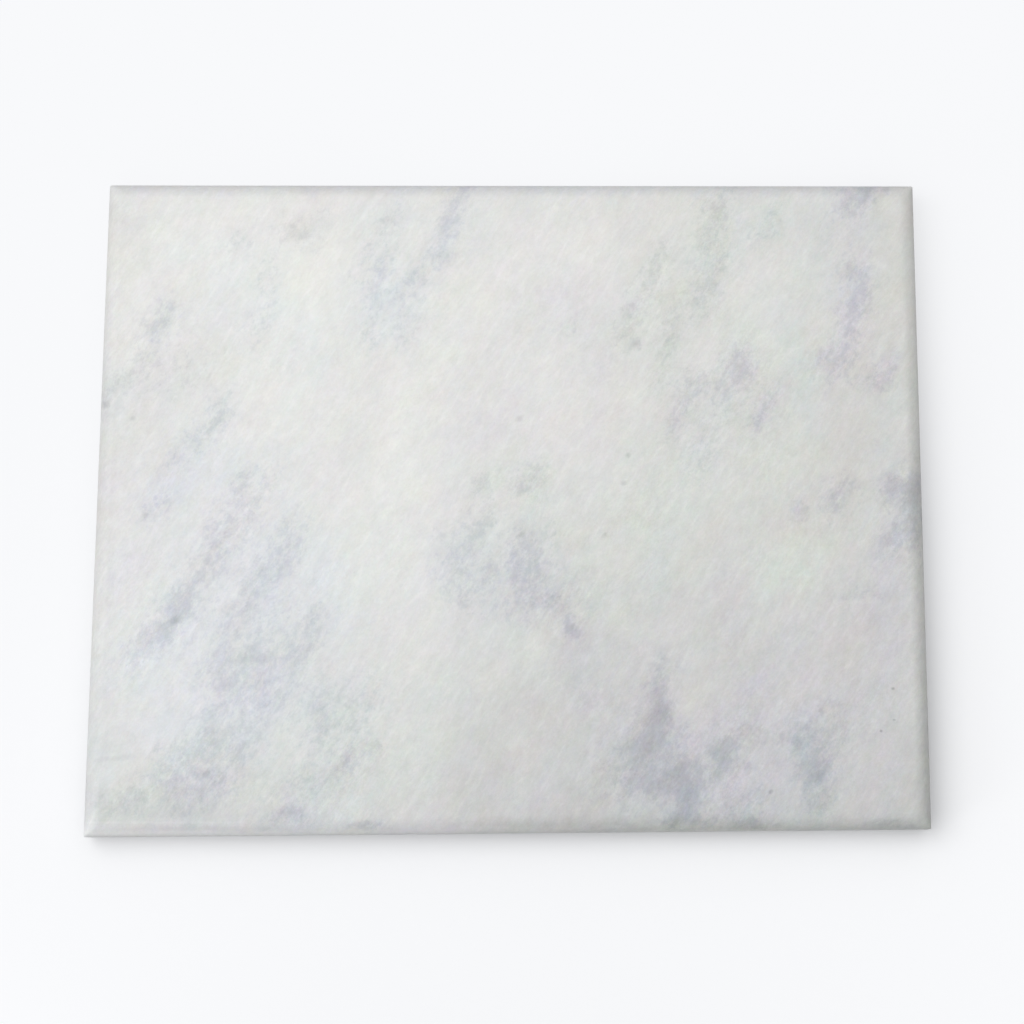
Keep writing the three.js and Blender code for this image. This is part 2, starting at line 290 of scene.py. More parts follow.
greenClouds = [  # green and olive washes
    (-140, -134, 45, 8, 5, 0.2), (-178, -137, 8, 6, 0, 0.3), (-75, -124, 26, 12, 60, 0.55),
    (-100, -124, 18, 8, 20, 0.15), (-44, -112, 22, 6, 58, 0.35), (-10, -88, 10, 6, 30, 0.3),
    (-8, -66, 10, 6, 60, 0.1), (-28, -82, 4, 2.5, 85, 0.8), (-160, -42, 12, 7, 50, 0.5),
    (-172, -80, 10, 8, 30, 0.1), (-55, -10, 14, 6, 80, 0.4), (-60, -140, 20, 8, 20, 0.1),
    (-117, -130, 8, 4, 60, 0.2), (-75, -92, 18, 10, 30, 0.15), (-35, -125, 12, 4, 70, 0.5),
    (-142, 115, 14, 5, 10, 0.4), (-120, 105, 8, 6, 60, 0.2), (-165, 128, 6, 5, 80, 0.4),
    (-60, 125, 10, 10, 60, 0.3), (-85, 90, 8, 5, 60, 0.1), (-85, 70, 10, 6, 60, 0.2),
    (-25, 65, 6, 5, 60, 0.4), (-47, 45, 8, 4, 75, 0.4), (-75, 35, 8, 8, 60, 0.1), (-5, 10, 6, 5, 50, 0.7),
    (-180, 75, 5, 5, 0, 0.4), (95, 125, 20, 8, 83, 0.9), (100, 90, 14, 8, 50, 0.5),
    (68, 108, 9, 5, 65, 0.8), (56, 85, 14, 5, 68, 0.5), (75, 78, 16, 4.5, 75, 0.5),
    (70, 58, 14, 6, 75, 0.45), (82, 42, 12, 8, 60, 0.1), (95, 35, 20, 12, 70, 0.5),
    (85, 18, 18, 10, 70, 0.1), (65, 15, 12, 8, 80, 0.5), (110, 75, 10, 7, 40, 0.6),
    (125, 62, 12, 7, 50, 0.5), (138, 65, 18, 5, 92, 0.5), (135, 110, 10, 10, 60, 0.25),
    (148, 120, 12, 10, 60, 0.2), (120, 135, 10, 6, 60, 0.5), (125, 35, 14, 10, 60, 0.4),
    (118, 15, 12, 10, 60, 0.45), (12, 8, 7, 6, 60, 0.8), (28, 80, 5, 4, 0, 0.5), (175, 90, 12, 5, 85, 0.3),
    (178, 45, 8, 4, 80, 0.4), (53, 20, 14, 3, 88, 0.3), (125, -35, 14, 10, 30, 0.45),
    (112, -30, 8, 8, 40, 0.4), (75, -15, 24, 12, 75, 0.45), (40, -20, 20, 10, 70, 0.25),
    (40, -45, 9, 7, 70, 0.5), (12, -5, 8, 5, 60, 0.6), (10, -70, 12, 10, 60, 0.3), (18, -82, 8, 6, 60, 0.4),
    (62, -30, 14, 8, 80, 0.4), (135, -40, 8, 6, 80, 0.5), (165, -5, 10, 6, 40, 0.4),
    (28, -38, 8, 5, 70, 0.4), (52, -52, 6, 4, 70, 0.4), (45, -125, 12, 5, 95, 0.2),
    (135, -110, 10, 8, 0, 0.4), (135, -135, 10, 6, 88, 0.4), (95, -118, 8, 6, 60, 0.1),
    (105, -142, 8, 5, 0, 0.4), (55, -3, 8, 6, 60, 0.5), (-65, -114, 10, 8, 60, 0.4),
    (83, 95, 8, 5, 60, 0.5), (108, -28, 8, 6, 40, 0.4), (110, 20, 10, 8, 60, 0.4), (140, 18, 8, 8, 60, 0.3),
    # painted shade: the first two long bands here give the front and right roundovers the green cast they
    # take in shade
    (100, -150, 90, 3.5, 0, 0.35), (187, -40, 110, 4, 90, 0.45), (-143, -116, 12, 6, 20, 0.5),
    (25, -30, 10, 8, 60, 0.35), (30, -48, 8, 7, 60, 0.45), (-50, -32, 10, 6, 85, 0.25),
    (60, -8, 6, 6, 0, 0.45), (125, 3, 10, 8, 0, 0.25), (130, -19, 12, 6, 0, 0.5), (66, 89, 9, 6, 60, 0.75),
    (92, 57, 9, 5, 10, 0.6), (118, 48, 8, 6, 50, 0.5), (160, -18, 8, 6, 0, 0.45),
    (-112, 62, 14, 8, 50, 0.35), (-37, 50, 8, 7, 70, 0.5), (-68, 78, 9, 5, 80, 0.4),
    (-46, 113, 8, 7, 60, 0.4), (-31, 97, 6, 6, 0, 0.4), (-113, 3, 8, 5, 20, 0.4), (-75, -33, 6, 6, 0, 0.4),
    (-87, -38, 8, 5, 60, 0.35),
]
hazeClouds = [  # pale blue washes
    (-108, -70, 30, 20, 50, 0.7), (-105, -32, 24, 12, 60, 0.5), (-140, -45, 34, 10, 52, 0.5),
    (-165, -85, 18, 9, 30, 0.2), (-155, -104, 16, 7, 20, 0.6), (-85, -22, 10, 8, 60, 0.6),
    (-75, -95, 18, 11, 25, 0.5), (-18, -30, 15, 13, 70, 0.75), (-130, -107, 20, 9, 20, 0.7),
    (-145, -2, 10, 8, 60, 0.3), (-120, -115, 14, 6, 30, 0.4), (-130, 110, 12, 12, 60, 0.4),
    (-120, 85, 14, 12, 60, 0.4), (-92, 70, 12, 8, 60, 0.5), (-88, 60, 7, 6, 60, 0.4),
    (-107, 90, 6, 5, 80, 0.5), (-62, 90, 18, 7, 76, 0.7), (-48, 85, 14, 9, 65, 0.7),
    (-27, 130, 8, 5, 75, 0.7), (-33, 116, 5, 4, 60, 0.7), (-60, 125, 12, 9, 60, 0.4),
    (-145, 25, 10, 7, 40, 0.6), (-125, 12, 14, 8, 40, 0.5), (-105, 22, 6, 5, 60, 0.3),
    (-150, 5, 20, 6, 30, 0.5), (-160, 80, 8, 5, 50, 0.3), (-133, 40, 7, 4, 75, 0.4),
    (136, 50, 16, 4, 97, 0.9), (130, 78, 5, 5, 60, 0.6), (85, 20, 10, 8, 70, 0.4),
    (140, 120, 12, 10, 60, 0.4), (120, 128, 8, 6, 60, 0.4), (88, 110, 10, 5, 85, 0.4),
    (171, 25, 5, 3, 60, 0.6), (178, 42, 6, 3, 80, 0.6), (65, -38, 10, 6, 80, 0.5), (75, -75, 8, 5, 0, 0.4),
    (132, -115, 10, 8, 60, 0.7), (135, -135, 10, 6, 88, 0.6), (95, -118, 7, 7, 60, 0.3),
    (105, -138, 10, 5, 20, 0.5), (62, -122, 14, 12, 40, 0.25), (80, -135, 10, 9, 70, 0.5),
    (8, -25, 12, 8, 70, 0.4), (165, -8, 5, 4, 0, 0.5), (75, -110, 5, 4, 0, 0.5), (-5, -45, 8, 6, 40, 0.5),
    (20, -30, 8, 6, 50, 0.2), (-163, 14, 8, 6, 0, 0.4), (-88, -38, 8, 6, 60, 0.4),
    (-150, -72, 16, 10, 40, 0.4), (-100, -128, 12, 8, 20, 0.1), (-85, -116, 8, 8, 60, 0.4),
    (-165, -143, 12, 4, 0, 0.2), (-140, -144, 8, 4, 0, 0.2), (-172, -72, 20, 8, 80, 0.1),
    (-155, -40, 14, 6, 50, 0.3), (-72, -46, 10, 8, 60, 0.3), (125, -35, 12, 8, 30, 0.4),
    (25, 142, 20, 6, 0, 0.3), (-15, 128, 8, 8, 60, 0.1), (-137, -8, 16, 8, 62, 0.1),
    # painted shade: the first long band here gives the back roundover the blue cast it takes in shade
    (0, 146.8, 190, 2.4, 0, 0.45), (-50, -32, 10, 6, 85, 0.25), (125, 3, 10, 8, 0, 0.3),
    (108, 130, 10, 8, 60, 0.45), (140, 138, 12, 8, 0, 0.4), (150, 102, 14, 8, 80, 0.4),
    (162, 68, 10, 8, 60, 0.4), (145, 46, 8, 5, 90, 0.4),
]
creamClouds = [  # warm patches
    (-45, -25, 16, 7, 75, 0.8), (-90, 110, 26, 16, 70, 0.3), (-100, 95, 14, 8, 60, 0.5),
    (-55, 40, 34, 10, 68, 0.6), (-110, 50, 24, 12, 50, 0.6), (-175, 105, 14, 6, 70, 0.4),
    (-150, 100, 14, 8, 30, 0.3), (-20, 105, 12, 7, 40, 0.5), (8, 110, 10, 6, 20, 0.6),
    (35, 115, 12, 7, 40, 0.5), (14, 62, 6, 6, 60, 0.8), (30, 37, 6, 5, 60, 0.7), (-170, 40, 14, 12, 0, 0.4),
    (-130, 62, 14, 6, 50, 0.4), (-15, 85, 10, 8, 50, 0.4), (40, -38, 7, 6, 70, 0.7),
    (85, -80, 10, 9, 60, 0.8), (55, -78, 8, 6, 80, 0.2), (95, -90, 6, 5, 60, 0.8), (75, -65, 8, 5, 40, 0.5),
    (130, -82, 14, 8, 40, 0.7), (140, -65, 8, 8, 60, 0.6), (155, -60, 8, 5, 80, 0.6),
    (110, -60, 6, 5, 60, 0.4), (178, -75, 8, 4, 80, 0.6), (12, -92, 12, 8, 30, 0.5),
    (5, -100, 8, 6, 0, 0.5), (25, -115, 10, 6, 80, 0.5), (25, -132, 8, 5, 0, 0.4), (30, -90, 8, 5, 80, 0.1),
    (-5, -100, 16, 8, 30, 0.4), (165, 75, 10, 8, 60, 0.4), (165, 15, 14, 8, 40, 0.5),
    (150, 35, 12, 12, 60, 0.4), (125, 8, 8, 6, 60, 0.4), (115, 30, 8, 6, 60, 0.3),
    (160, -20, 10, 8, 40, 0.4), (162, -115, 20, 5, 80, 0.4), (25, -10, 8, 6, 60, 0.4),
    (-60, 12, 18, 8, 75, 0.5), (-35, 60, 8, 6, 70, 0.4), (135, 0, 16, 14, 60, 0.8),
    (118, -18, 14, 8, 60, 0.7), (148, 74, 8, 6, 60, 0.6), (82, 92, 8, 6, 60, 0.5), (0, -112, 8, 8, 60, 0.5),
    (-130, 125, 10, 8, 60, 0.4), (-163, 102, 8, 8, 60, 0.4), (95, 57, 8, 5, 20, 0.5),
    # painted shade: the two long bands here warm the right and front roundovers to the colour they take in
    # shade
    (25, 45, 10, 8, 60, 0.4), (187, -40, 110, 4, 90, 0.8), (100, -150, 90, 3.5, 0, 0.8),
    (-145, -115, 14, 8, 20, 1.2), (-45, -120, 14, 8, 60, 1), (0, -115, 14, 10, 60, 0.8),
    (-12, 68, 8, 8, 60, 1.2), (-160, -66, 8, 5, 20, 1.6), (-140, -126, 8, 4, 20, 1.2),
    (-116, -134, 8, 6, 0, 1.2), (128, -87, 6, 6, 0, 1.5), (160, 66, 8, 6, -30, 1.2),
    (155, 88, 6, 5, 90, 1.2), (36, -60, 6, 5, 90, 1), (-138, 5, 16, 5, 90, 1), (-88, 5, 8, 6, 0, 1),
    (-178, -76, 8, 4, 0, 1), (-33, -90, 8, 6, 40, -2), (-180, 35, 6, 5, 90, -2), (-152, 52, 8, 6, 50, -1.8),
    (118, 14, 10, 5, 20, -1.8), (52, -15, 6, 5, 90, -1.8), (-47, 130, 12, 5, 70, -1.5),
    (20, 112, 10, 6, 0, -1.2), (112, 112, 8, 8, 0, -1.2), (140, 108, 8, 6, 60, -1.2),
    (-75, 95, 14, 8, 90, -0.8), (-105, 72, 6, 5, 0, -1.3), (-10, 130, 6, 5, 90, -1.3),
]
toneClouds = [  # lighter and darker patches, in hundredths
    (-165, -118, 12, 8, 0, 0.5), (-100, -112, 12, 6, 0, 1.2), (-128, -100, 3.5, 3, 0, 3),
    (-120, -28, 20, 4, 55, 1.8), (-160, -42, 12, 6, 50, 1.2), (-48, -62, 26, 16, 60, 1.8),
    (-105, 115, 18, 14, 60, 1), (-110, 50, 22, 12, 50, 1.4), (-150, 118, 14, 9, 40, 1),
    (-45, 40, 28, 10, 68, 1), (95, 68, 10, 7, 20, 2.5), (112, 95, 12, 10, 20, 2.5), (8, -70, 9, 8, 60, 2),
    (64, 80, 26, 3, 72, 1.8), (58, 40, 26, 3, 80, 1), (110, 8, 8, 6, 60, 1.4), (122, 5, 7, 4, 70, 1.4),
    (78, -100, 8, 5, 60, 1.2), (62, -138, 8, 3, 15, 1.8), (112, -125, 10, 8, 80, 1),
    (165, -8, 5, 4, 0, 1.4), (60, -110, 60, 36, 15, -6.4), (0, -125, 26, 20, 20, -3),
    (130, -100, 50, 36, 10, -2.8), (40, -85, 22, 18, 60, -4), (20, -45, 14, 8, -10, -2.4),
    (-155, 60, 22, 14, 30, -4), (-90, 130, 10, 7, 20, -2.4), (-125, 125, 7, 6, 60, -2.4),
    (150, 30, 24, 20, 60, -1.6), (95, -50, 16, 14, 60, -1.6), (165, -60, 18, 12, 20, -2),
    (-55, 0, 40, 16, 70, 5), (-90, -15, 20, 12, 60, 3), (-90, 95, 20, 12, 80, 5), (-45, 45, 24, 8, 75, 3),
    (15, 55, 20, 16, 60, 4), (25, 25, 20, 14, 60, 2), (-5, 100, 30, 12, 40, 4), (35, 115, 12, 12, 0, 4),
    (-110, 45, 16, 12, 50, 2), (-140, 115, 20, 12, 20, 2), (82, 10, 12, 8, 70, 3), (80, -90, 10, 8, 60, 3),
    (120, -35, 14, 10, 30, 2), (-45, -45, 20, 12, 60, 2), (130, 25, 10, 8, 60, 2), (125, 90, 10, 10, 0, 2),
    # the three long bands here darken the stone along the front, right and left edges: partly the stone's
    # own tone, partly painted shade
    (0, -152, 400, 22, 0, -7), (195, 0, 300, 35, 90, -5), (-190, 20, 60, 16, 85, -2.5),
    (-150, 10, 18, 12, 40, -2), (-135, -132, 20, 9, 10, -4), (-170, -140, 14, 6, 0, -3),
    (-100, -140, 20, 8, 10, -2), (10, -45, 16, 10, 30, -4), (30, -62, 8, 8, 0, -4),
    (28, -75, 12, 8, 95, -3), (-15, -120, 14, 14, 60, -4), (-90, 35, 24, 14, 60, 2),
    (-40, 0, 20, 20, 70, 2), (-60, 85, 20, 10, 60, 2), (-110, 90, 16, 12, 60, 3), (-95, 118, 8, 6, 0, 3),
    (-178, 118, 14, 8, 80, -3), (-180, 10, 20, 8, 85, -2), (130, 0, 14, 10, 0, -2.5),
    (90, -40, 24, 16, 60, -2.5), (30, -40, 30, 20, 60, -2), (-5, -95, 30, 10, 20, -2),
    (150, -100, 20, 14, 0, -2), (-40, -100, 12, 8, 40, 3), (5, -130, 12, 8, 80, 3), (85, 12, 10, 6, 70, 2),
    (178, -88, 16, 8, 85, 4), (168, -130, 8, 6, 60, 3), (-75, -138, 8, 6, 0, 2), (-52, -25, 20, 14, 60, 2),
    (-30, 68, 14, 10, 60, 2.5), (178, 45, 10, 6, 80, 3), (170, -12, 6, 6, 0, 2),
    (-178, 130, 14, 10, 85, -4), (-153, 8, 10, 8, 40, -3), (110, 30, 10, 8, 60, -2),
    (125, 50, 8, 6, 60, -2), (-175, -114, 10, 8, 0, -3), (-120, -125, 12, 6, 20, -2),
    (-75, -118, 8, 6, 60, -2), (30, -135, 10, 8, 0, -3), (40, -110, 10, 8, 60, -2),
    (60, -45, 14, 12, 60, -2), (125, -10, 8, 8, 60, -2), (-165, -138, 25, 5, 0, -4),
    (-170, 18, 18, 8, 90, -2.5), (20, -95, 40, 12, 0, -1.5), (-12, -115, 10, 10, 0, -2),
    (-122, -122, 8, 6, 0, -2.5), (-140, -144, 20, 4, 0, -3), (-88, -143, 8, 4, 0, -3),
    (-170, 135, 16, 14, 0, -2), (65, 92, 8, 8, 0, -1), (115, 110, 12, 12, 0, 1.5), (105, 12, 8, 8, 0, 2),
    (155, -141, 10, 6, 0, 2.5), (25, -133, 10, 8, 0, 1.5), (168, -100, 12, 8, 90, 1.5),
    (-112, -68, 6, 5, 0, 7), (-138, -113, 9, 5, 20, 3.5), (-120, -108, 6, 6, 0, 3),
    (-155, -133, 8, 5, 20, 3), (-172, -136, 8, 5, 0, 2), (-18, -50, 10, 8, 60, 2), (-15, -80, 8, 6, 0, 1.5),
    (18, -45, 4, 4, 0, 3), (32, -58, 8, 6, 60, 3), (48, -20, 10, 5, 60, 2), (5, -130, 12, 12, 0, 2.5),
    (-40, -130, 8, 6, 60, 2), (72, -122, 5, 5, 0, 5.5), (80, -105, 5, 5, 0, 3), (90, -115, 5, 5, 0, 3),
    (56, -108, 6, 5, 0, 2.5), (87, 100, 5, 5, 0, 3), (130, -35, 16, 8, 30, 2), (165, -10, 16, 8, 0, 1.5),
    (-172, 58, 5, 5, 0, 3), (-150, -30, 10, 8, 40, 1.5), (-168, -38, 14, 5, 62, -2.5),
    (-140, 138, 8, 8, 0, -3), (-145, 98, 12, 8, 0, -2), (158, 47, 8, 5, 0, -3.5), (22, 102, 10, 8, 0, -2.5),
    (20, 76, 6, 5, 0, -2), (-15, 33, 8, 6, 30, -2.5), (90, 41, 5, 5, 0, -3), (75, 15, 7, 5, 70, -2.5),
    (-170, 28, 10, 8, 0, -2.5), (-66, 128, 8, 6, 0, -2.5), (-155, 75, 8, 8, 0, -2),
    (125, 44, 5, 4, 0, -2.5), (145, 132, 8, 6, 0, -2.5), (-168, -70, 8, 5, 0, 2.5),
    (-138, -114, 8, 5, 20, 2), (18, -85, 10, 4, 90, 2.5), (32, -110, 6, 5, 0, 2), (52, -130, 6, 6, 0, 2.5),
    (75, -142, 10, 4, 0, 3), (135, -106, 6, 5, 0, 3), (135, -90, 8, 5, 0, 2), (152, -136, 8, 6, 90, 2.5),
    (-88, -50, 5, 5, 0, 2.5), (-126, -50, 8, 5, 0, 2), (-30, 130, 5, 4, 0, 3), (130, 22, 6, 6, 0, 2.5),
    (100, -3, 5, 5, 0, 2.5), (10, 14, 6, 5, 0, 2.5), (35, 5, 8, 6, 60, 1.5), (100, -115, 6, 6, 0, 2),
    (-66, -66, 8, 8, 0, -2.5), (-142, -141, 8, 4, 0, -3.5), (-170, -110, 10, 8, 0, -2),
    (-100, -32, 10, 3, 90, -3), (80, 85, 12, 8, 60, -2.5), (5, 92, 5, 5, 0, -3), (-155, 8, 5, 5, 0, -2.5),
    (-75, 10, 6, 4, 90, -2.5), (-165, -25, 10, 4, 60, -2), (62, -17, 6, 4, 80, -2.5),
    (128, -66, 8, 6, 90, -2), (165, 132, 12, 8, 30, -2), (-105, 115, 6, 5, 0, -2),
    (-170, 122, 10, 8, 0, -1.5),
]
paleSeams = [  # thin pale seams of calcite
    (73, 112, 18, 0.7, 70, 0.8), (36, -118, 13, 1.1, 83, 0.7), (66, -74.5, 3, 1.2, -20, 1.2),
    (20, -61, 8, 0.9, -50, 0.6), (-117, -139, 8, 0.5, 70, 0.8), (-140, -86, 14, 0.5, -33, 0.6),
    (140, -20, 20, 0.6, 93, 0.4), (-90, -87, 14, 0.5, 55, 0.4), (-155, -146.3, 34, 0.5, 0, 0.7),
]
darkSpecks = [  # small dark specks
    (4, 37, 1.6, 1.1, 40, 0.6), (58, 72, 2.2, 1.4, 40, 0.4), (116, -133, 1.0, 0.7, 40, 0.8),
    (52, 7, 1.3, 0.9, 20, 0.7), (-151, -56, 2.0, 1.4, 40, 0.8), (-135, -124.5, 1.6, 1.1, 40, 0.8),
    (-173, 37, 1.3, 1.0, 0, 0.5), (-186, 44, 1.6, 1.4, 0, 0.7), (172, -87, 0.7, 0.5, 0, 1.2),
    (166, -106, 0.5, 0.5, 0, 1.2), (172, -101, 0.6, 0.4, 0, 1.0), (5, -17, 1.8, 1.0, 30, 0.6),
    (-176, -118, 6, 1.1, 8, 0.35), (-166, -8, 1.2, 1.0, 40, 0.6), (54, 20, 1.1, 1.1, 0, 0.6),
    (43, -17, 1.2, 0.8, 30, 0.5),
]
paintedEdgeShading = [  # painted light and shade: lighter and darker stretches along the edges' roundovers, in hundredths
    (-150, -153, 60, 4, 0, 3), (-40, -153, 50, 4, 0, 8), (60, -147, 50, 5, 0, -4),
    (-165, -154.3, 45, 2.2, 0, 18), (-80, -154.3, 40, 2, 0, 9), (15, -147, 40, 2.6, 0, -6),
    (90, -154.5, 50, 2, 0, 12), (-187, 30, 140, 3.5, 90, -5), (-184, 10, 150, 3.5, 90, -4.5),
    (187.5, 20, 150, 1.8, 90, 14), (187.5, 90, 50, 1.8, 90, 6), (-80, 146, 100, 2.4, 0, -7),
    (90, 146, 90, 2.4, 0, -3), (-122, -150, 40, 1.2, 0, -5), (-152, -142.8, 22, 1.8, 0, -4.5),
    (-186, -142, 8, 2.8, 90, 7), (-187, -108, 14, 3, 90, -4.5), (-40, -152.5, 30, 1, 0, 6),
    (-186, -151.5, 10, 2.5, 0, 6),
]


def leaned(x, y):  # distances along and across the grain
    lean = math.radians(stone["lean"])
    return x * math.cos(lean) + y * math.sin(lean), y * math.cos(lean) - x * math.sin(lean)


# Smooth noise from -1 to 1: a made-up value at each corner of a square lattice, eased across each square
def ripple(x, y, size, seed):
    byX, byY, bySeed, spread = stone["scatter"]
    i, j = np.floor(x / size), np.floor(y / size)
    fx, fy = x / size - i, y / size - j
    fx, fy = fx * fx * (3 - 2 * fx), fy * fy * (3 - 2 * fy)

    def corner(a, b):
        return 2 * np.mod(np.sin(a * byX + b * byY + seed * bySeed) * spread, 1) - 1

    front = corner(i, j) * (1 - fx) + corner(i + 1, j) * fx
    back = corner(i, j + 1) * (1 - fx) + corner(i + 1, j + 1) * fx
    return front * (1 - fy) + back * fy


def ripples(x, y, size, seed, layers=3):  # ripples of half the size and half the height added at each layer
    return sum(ripple(x, y, size / 2 ** k, seed + k) / 2 ** k for k in range(layers))


# A sum of soft ellipses. With u and v the distances along and across an ellipse, as shares of the way to
# its rim, each has a core of depth times (1 - u^2 - v^2)^2, and a halo of the same form that is haloSize
# times as wide. The listed half length and half width are where half of the core is left.
def cloudSum(x, y, clouds):
    total = np.zeros_like(x)
    for cx, cy, length, width, turn, depth in clouds:
        c, s = math.cos(math.radians(turn)), math.sin(math.radians(turn))
        u = ((x - cx) * c + (y - cy) * s) / (length * stone["rim"])
        v = ((y - cy) * c - (x - cx) * s) / (width * stone["rim"])
        core = np.clip(1 - u * u - v * v, 0, 1) ** 2
        halo = np.clip(1 - (u * u + v * v) / stone["haloSize"] ** 2, 0, 1) ** 2
        total += depth * (core * (1 - stone["halo"]) + halo * stone["halo"])
    return total


def stoneFields(points):  # vein shares and slow drifts of tone at each point, feathered along the grain; the tone also carries painted light and shade
    x, y = points[:, 0] / mm, points[:, 1] / mm
    below = (points[:, 2] - slabHigh[2]) / mm
    lean = math.radians(stone["lean"])
    x = x + below * stone["dip"] * math.cos(lean)  # veins slide along the grain with depth
    y = y + below * stone["dip"] * math.sin(lean)
    right, back = x / stone["slopeSpan"][0], y / stone["slopeSpan"][1]
    along, across = leaned(x, y)
    along = along / stone["stretch"]
    wx, wy = x, y
    for (size, height, layers), seedX, seedY in zip(stone["warps"], *stone["warpSeeds"]):
        wx = wx + height * ripples(along, across, size, seedX, layers)
        wy = wy + height * ripples(along, across, size, seedY, layers)
    washes = (slateClouds, violetClouds, greenClouds, hazeClouds)
    shares = [stone["strength"] * cloudSum(wx, wy, clouds) for clouds in washes]
    light, violet, blue = [ripples(along, across, stone["driftSize"], seed) for seed in stone["driftSeeds"]]
    violet = violet + stone["violetSlope"] * back
    blue = blue - stone["blueSlope"][0] * right - stone["blueSlope"][1] * back
    blue = blue - cloudSum(wx, wy, creamClouds)
    # painted light: the stone drawn lighter towards the back and darker towards the right, as the light
    # falls
    tone = 1 + stone["tone"][0] * right + stone["tone"][1] * back
    # the edge stretches are painted light and shade on the roundovers
    tone = tone + percent * (cloudSum(wx, wy, toneClouds) + cloudSum(x, y, paintedEdgeShading))
    return np.stack(shares, -1), np.stack([light, violet, blue, tone], -1)


# Soft ellipses, without halos, inside a material, three to a vector: u and v for three of them at a time,
# then (1 - u^2 - v^2)^2 of each, weighed by their depths and added up
def ellipseNodes(tree, point, ellipses):
    parts = addNode(tree, "ShaderNodeSeparateXYZ", {"Vector": point}).outputs
    nothing = (0, 0, 1, 1, 0, 0)  # fills up the last vector
    total = 0.0
    for start in range(0, len(ellipses), 3):
        three = (ellipses[start:start + 3] + [nothing] * 2)[:3]
        cx, cy, length, width, turn, depth = np.array(three, float).T
        c, s = np.cos(np.radians(turn)), np.sin(np.radians(turn))
        length, width = length * stone["rim"], width * stone["rim"]
        u = vectorNode(tree, "MULTIPLY_ADD", parts["X"], c / length, -(cx * c + cy * s) / length)
        u = vectorNode(tree, "MULTIPLY_ADD", parts["Y"], s / length, u)
        v = vectorNode(tree, "MULTIPLY_ADD", parts["X"], -s / width, (cx * s - cy * c) / width)
        v = vectorNode(tree, "MULTIPLY_ADD", parts["Y"], c / width, v)
        left = vectorNode(tree, "SUBTRACT", (1, 1, 1), vectorNode(tree, "MULTIPLY", u, u))
        left = vectorNode(tree, "SUBTRACT", left, vectorNode(tree, "MULTIPLY", v, v))
        left = vectorNode(tree, "MAXIMUM", left, (0, 0, 0))
        left = vectorNode(tree, "DOT_PRODUCT", vectorNode(tree, "MULTIPLY", left, left), depth)
        total = mathNode(tree, "ADD", left, total)
    return total


